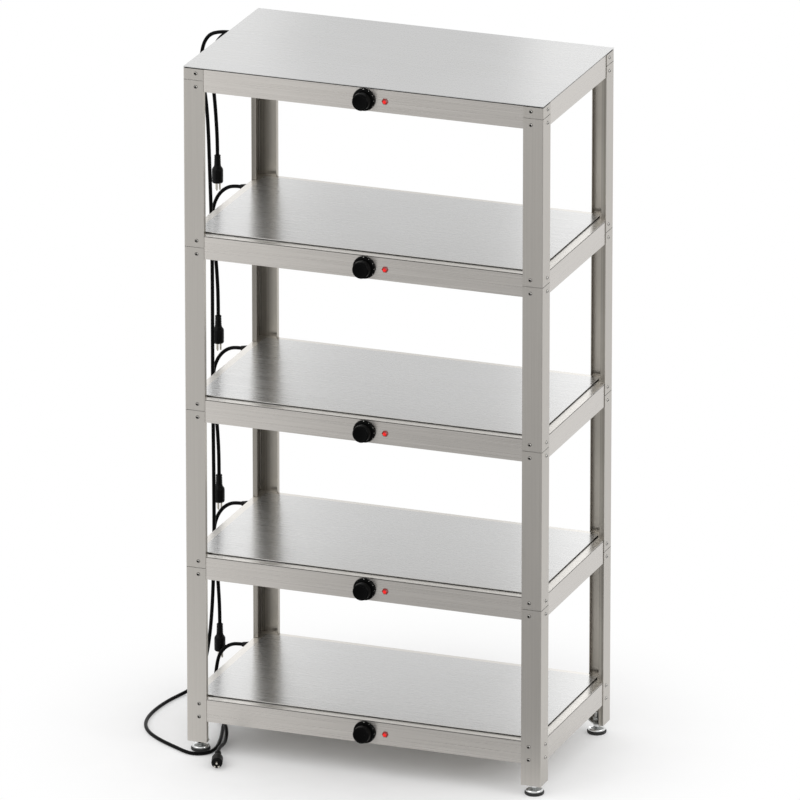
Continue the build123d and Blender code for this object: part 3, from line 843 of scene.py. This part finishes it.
def make_plug(name, node, place):
    """A moulded plug with its ribbed neck, fluted body and three pins."""
    bm = bmesh.new()
    profile = [(0, 0), (7.2, 0), (7.7, 0.6), (7.8, 3.2)]
    for step in range(5):
        low = 4.2 + 4.4 * step
        wide = 7.75 + 0.75 * low / 28
        profile += [(wide - 0.8, low), (wide - 0.85, low + 1.5), (wide, low + 2.1), (wide, low + 3.6)]
    profile += [(8.6, 28), (10.4, 30.6), (12.6, 33.6), (13.5, 36.4), (13.6, 40), (13.6, 61), (13.2, 62.6),
                (13.6, 63.6), (13.5, 66.6), (12.3, 69), (0, 69)]
    moulding = spun(bm, profile, 2 * sizes().plug_flutes)
    for corner in {corner for face in moulding for corner in face.verts}:
        step = round(atan2(corner.co.y, corner.co.x) * sizes().plug_flutes / pi)
        if step % 2 and 38 * MM < corner.co.z < 62 * MM:
            corner.co.xy *= 0.965
    soften(bm, moulding, 0.35, 32, 2)
    for turn in (90, 210, 330):
        pin = spun(bm, [(0, 68.9), (2.4, 68.9), (2.4, 86.6), (1.5, 88), (0, 88)], 20, 1)
        shift = Vector((5.5 * cos(radians(turn)), 5.5 * sin(radians(turn)), 0)) * MM
        corners = {corner for face in pin for corner in face.verts}
        bmesh.ops.translate(bm, verts=list(corners), vec=shift)
    bm.transform(place)
    return piece(name, bm, ["plug", "pin"], "root", [node], 30)


def make_cord(name, points, nodes):
    """A free cord as one smooth spline along its route."""
    curve = bpy.data.curves.new(name, "CURVE")
    curve.dimensions = "3D"
    curve.bevel_depth = CORD_DIAMETER / 2 * MM
    curve.bevel_resolution = 4
    curve.resolution_u = 8
    curve.use_fill_caps = True
    spline = curve.splines.new("NURBS")
    spline.points.add(len(points) - 1)
    for point, where in zip(spline.points, points):
        point.co = (*where, 1)
    spline.order_u = 3
    spline.use_endpoint_u = True
    curve.materials.append(finish("cable"))
    cord = bpy.data.objects.new(name, curve)
    bpy.context.scene.collection.objects.link(cord)
    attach(cord, "root")
    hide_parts(*nodes)


class SHELF_OT_cords(bpy.types.Operator):
    """Builds the cords of the tiers and the supply cord, each with its plug"""

    bl_idname = "heated_shelf.cords"
    bl_label = "Cords and plugs"

    def execute(self, context):
        for tier in range(1, 6):
            points = shelf_points(tier)
            heading = (points[-1] - points[-2]).normalized()
            plug = make_plug(f"tier_plug_{tier}", f"shelf_plug_{tier}", plug_place(points[-1], heading))
            make_cord(
                f"tier_cord_{tier}", points, [f"shelf_cord_{tier}"]
            )
        points = [spot(*point) for point in SUPPLY_CORD] + coil_points()
        heading = (points[-1] - points[-2]).normalized()
        plug = make_plug("mains_plug", "supply_plug", plug_place(points[-1], heading))
        make_cord("mains_cord", points, ["supply_cord", "supply_coil"])
        return {"FINISHED"}


class SHELF_OT_stage(bpy.types.Operator):
    """Builds the pale floor, the soft lamps and the camera"""

    bl_idname = "heated_shelf.stage"
    bl_label = "Stage"

    def execute(self, context):
        scene = context.scene
        scene.view_settings.view_transform = "Standard"
        self.floor()
        self.world(scene)
        # Each lamp's place and size in metres and its power in watts
        self.lamp("soft_lamp_left", (-3.4, -3.6, 3.4), (4.4, 4.4), 72)
        self.lamp("soft_lamp_right", (4.0, -0.6, 3.0), (2.6, 2.6), 40)
        self.lamp("strip_lamp_back_left", (-2.1, 3.6, 1.7), (0.8, 3.0), 4.2)
        self.lamp("strip_lamp_back_right", (-0.6, 3.6, 1.5), (0.6, 3.0), 4.6)
        self.camera(scene)
        return {"FINISHED"}

    def floor(self):
        """A wide flat floor under the rack."""
        bm = bmesh.new()
        bmesh.ops.create_grid(bm, x_segments=2, y_segments=2, size=9)
        mesh = bpy.data.meshes.new("studio_floor")
        bm.to_mesh(mesh)
        bm.free()
        floor = bpy.data.objects.new("studio_floor", mesh)
        bpy.context.scene.collection.objects.link(floor)
        mesh.materials.append(self.paper())

    def paper(self):
        """White studio paper, which runs out to the white of the background some way from the rack.

        Sheet metal shows the floor in front of it greyer to the right: a painted reflection that shades the
        metal towards the right."""
        material, tree, place = blank("Studio paper, white")
        reach = add(
            tree, "ShaderNodeVectorMath", {"operation": "DISTANCE"}, values={1: (-0.03, 0.02, 0)},
            links={0: place},
        )
        far = add(
            tree, "ShaderNodeMapRange", {"interpolation_type": "SMOOTHSTEP"},
            values={"From Min": 0.25, "From Max": 0.98}, links={"Value": reach.outputs["Value"]},
        )
        # Far off, the camera and mirrors see plain white
        seen = self.seen(tree)
        seen_far = add(
            tree, "ShaderNodeMath", {"operation": "MULTIPLY"},
            links={0: far.outputs["Result"], 1: seen.outputs["Value"]},
        )
        fibre = add(tree, "ShaderNodeTexNoise", values={"Scale": 9.0, "Detail": 2.0}, links={"Vector": place})
        tone = add(
            tree, "ShaderNodeValToRGB", links={"Fac": fibre.outputs["Fac"]},
            stops=[(0.3, linear("#F2F2F2")), (0.7, linear("#F5F5F5"))],
        )
        near = add(tree, "ShaderNodeBsdfDiffuse", links={"Color": tone.outputs["Color"]})
        # In front, mirrors see a painted glow that falls off to the right, a painted reflection
        aside = add(
            tree, "ShaderNodeVectorMath", {"operation": "DOT_PRODUCT"}, values={1: (0.937, -0.35, 0)},
            links={0: place},
        )
        to_right = add(
            tree, "ShaderNodeMapRange", {"interpolation_type": "SMOOTHSTEP"},
            values={"From Min": -0.5, "From Max": 0.2}, links={"Value": aside.outputs["Value"]},
        )
        axes = add(tree, "ShaderNodeSeparateXYZ", links={"Vector": place})
        to_front = add(
            tree, "ShaderNodeMapRange", {"interpolation_type": "SMOOTHSTEP"},
            values={"From Min": 0.0, "From Max": -0.55}, links={"Value": axes.outputs["Y"]},
        )
        painted_dim_share = add(
            tree, "ShaderNodeMath", {"operation": "MULTIPLY"},
            links={0: to_right.outputs["Result"], 1: to_front.outputs["Result"]},
        )
        glossy = add(tree, "ShaderNodeLightPath")
        mirrored_front = add(
            tree, "ShaderNodeMath", {"operation": "MULTIPLY"},
            links={0: to_front.outputs["Result"], 1: glossy.outputs["Is Glossy Ray"]},
        )
        white_share = add(
            tree, "ShaderNodeMath", {"operation": "MAXIMUM"},
            links={0: seen_far.outputs["Value"], 1: mirrored_front.outputs["Value"]},
        )
        mirrored = add(
            tree, "ShaderNodeMath", {"operation": "MULTIPLY"},
            links={0: painted_dim_share.outputs["Value"], 1: glossy.outputs["Is Glossy Ray"]},
        )
        # Painted reflection: glossy rays see the front floor as white light, dimmed to 0.54 towards the right
        strength = add(
            tree, "ShaderNodeMapRange", values={"To Min": 1.0, "To Max": 0.54},
            links={"Value": mirrored.outputs["Value"]},
        )
        white = add(
            tree, "ShaderNodeEmission", values={"Color": (1, 1, 1, 1)},
            links={"Strength": strength.outputs["Result"]},
        )
        mixed = add(
            tree, "ShaderNodeMixShader",
            links={0: white_share.outputs["Value"], 1: near.outputs["BSDF"], 2: white.outputs["Emission"]},
        )
        add(tree, "ShaderNodeOutputMaterial", links={"Surface": mixed.outputs["Shader"]})
        return material

    def seen(self, tree):
        """One for rays that show the background: camera, glossy and transmission rays."""
        path = add(tree, "ShaderNodeLightPath")
        first = add(
            tree, "ShaderNodeMath", {"operation": "MAXIMUM"},
            links={0: path.outputs["Is Camera Ray"], 1: path.outputs["Is Glossy Ray"]},
        )
        return add(
            tree, "ShaderNodeMath", {"operation": "MAXIMUM"},
            links={0: first.outputs["Value"], 1: path.outputs["Is Transmission Ray"]},
        )

    def world(self, scene):
        """An even room: white where it is seen, and slightly dimmer as a light."""
        world = bpy.data.worlds.new("Studio")
        world.use_nodes = True
        tree = world.node_tree
        tree.nodes.clear()
        seen = self.seen(tree)
        light = add(tree, "ShaderNodeBackground", values={"Color": (1, 1, 1, 1), "Strength": 0.92})
        white = add(tree, "ShaderNodeBackground", values={"Color": (1, 1, 1, 1), "Strength": 1.0})
        mixed = add(
            tree, "ShaderNodeMixShader",
            links={0: seen.outputs["Value"], 1: light.outputs["Background"], 2: white.outputs["Background"]},
        )
        add(tree, "ShaderNodeOutputWorld", links={"Surface": mixed.outputs["Shader"]})
        scene.world = world

    def lamp(self, name, where, size, power):
        """An area lamp turned to the middle of the rack."""
        data = bpy.data.lights.new(name, "AREA")
        data.shape = "RECTANGLE"
        data.size, data.size_y = size
        data.energy = power
        lamp = bpy.data.objects.new(name, data)
        lamp.location = where
        aim = Vector((0, 0, 0.8)) - Vector(where)
        lamp.rotation_euler = aim.to_track_quat("-Z", "Y").to_euler()
        bpy.context.scene.collection.objects.link(lamp)

    def camera(self, scene):
        """A long lens far off, to the right of the front, as the photograph was taken.

        Its focal length is given in the pixels of a picture 800 pixels wide, its distance in metres."""
        focal_pixels = 12616
        distance = 30
        data = bpy.data.cameras.new("camera")
        data.sensor_width = 36
        data.lens = focal_pixels / 800 * data.sensor_width
        data.clip_start = 1
        data.clip_end = 120
        camera = bpy.data.objects.new("camera", data)
        target = Vector((LEFT + 450.4, FRONT + 250, 864)) * MM
        azimuth, elevation = radians(20.52), radians(19.1)
        away = Vector((sin(azimuth) * cos(elevation), -cos(azimuth) * cos(elevation), sin(elevation)))
        camera.location = target + distance * away
        camera.rotation_euler = (-away).to_track_quat("-Z", "Y").to_euler()
        scene.collection.objects.link(camera)
        scene.camera = camera


class SHELF_PT_panel(bpy.types.Panel):
    """Lists the steps that build the heated shelf"""

    bl_idname = "SHELF_PT_panel"
    bl_label = "Heated Shelf"
    bl_space_type = "VIEW_3D"
    bl_region_type = "UI"
    bl_category = "Heated Shelf"

    def draw(self, context):
        for step in STEPS:
            self.layout.operator(step.bl_idname)
        for group in (context.scene.heated_shelf_finishes, context.scene.heated_shelf_sizes):
            box = self.layout.box()
            for key in group.__annotations__:
                box.prop(group, key)


STEPS = (
    SHELF_OT_stage, SHELF_OT_finish_sheet, SHELF_OT_cords, SHELF_OT_knobs, SHELF_OT_lamps,
    SHELF_OT_screws, SHELF_OT_glands, SHELF_OT_brackets, SHELF_OT_feet,
)
CLASSES = (HeatedShelfFinishes, HeatedShelfSizes, *STEPS, SHELF_PT_panel)


def register():
    for kind in CLASSES:
        bpy.utils.register_class(kind)
    bpy.types.Scene.heated_shelf_finishes = PointerProperty(type=HeatedShelfFinishes)
    bpy.types.Scene.heated_shelf_sizes = PointerProperty(type=HeatedShelfSizes)


def unregister():
    del bpy.types.Scene.heated_shelf_sizes
    del bpy.types.Scene.heated_shelf_finishes
    for kind in reversed(CLASSES):
        bpy.utils.unregister_class(kind)


def main():
    register()
    bpy.ops.heated_shelf.stage()
    bpy.ops.heated_shelf.finish_sheet()
    bpy.ops.heated_shelf.cords()
    bpy.ops.heated_shelf.knobs()
    bpy.ops.heated_shelf.lamps()
    bpy.ops.heated_shelf.screws()
    bpy.ops.heated_shelf.glands()
    bpy.ops.heated_shelf.brackets()
    bpy.ops.heated_shelf.feet()


if __name__ == "__main__":
    main()
